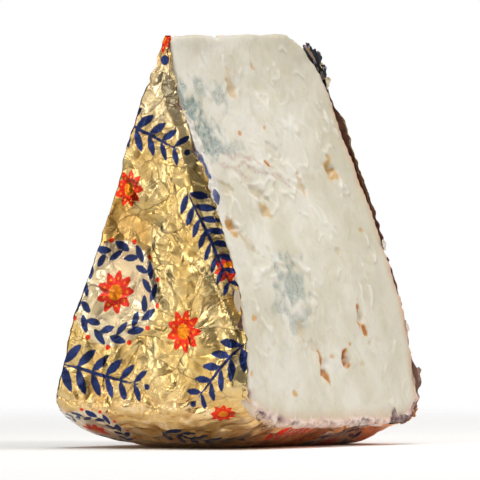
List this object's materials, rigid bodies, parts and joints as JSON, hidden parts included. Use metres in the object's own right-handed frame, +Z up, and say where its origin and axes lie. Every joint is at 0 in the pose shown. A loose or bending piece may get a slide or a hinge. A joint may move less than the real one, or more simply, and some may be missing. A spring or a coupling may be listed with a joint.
{
  "type": "gorgonzola wedge",
  "caption": "Tall wedge of soft blue cheese standing on its rim, tip up, with crumpled gold foil on both flat faces and the rim and both cuts bare.",
  "frame": {"origin": "under the wedge, on the foil's flat spot that it rests on, in the middle of the wheel's height", "axes": "+Z up towards the tip, X along the wheel's axis with the printed flat face towards -X, the front cut towards -Y"},
  "size_m": [0.1285, 0.0848, 0.1503],
  "materials": {
    "cheese": "moist cream paste",
    "foil": "crumpled gold lacquer"
  },
  "bodies": {
    "root": {"cheese": "cheese", "foil_wrap": "foil"}
  },
  "joints": []
}
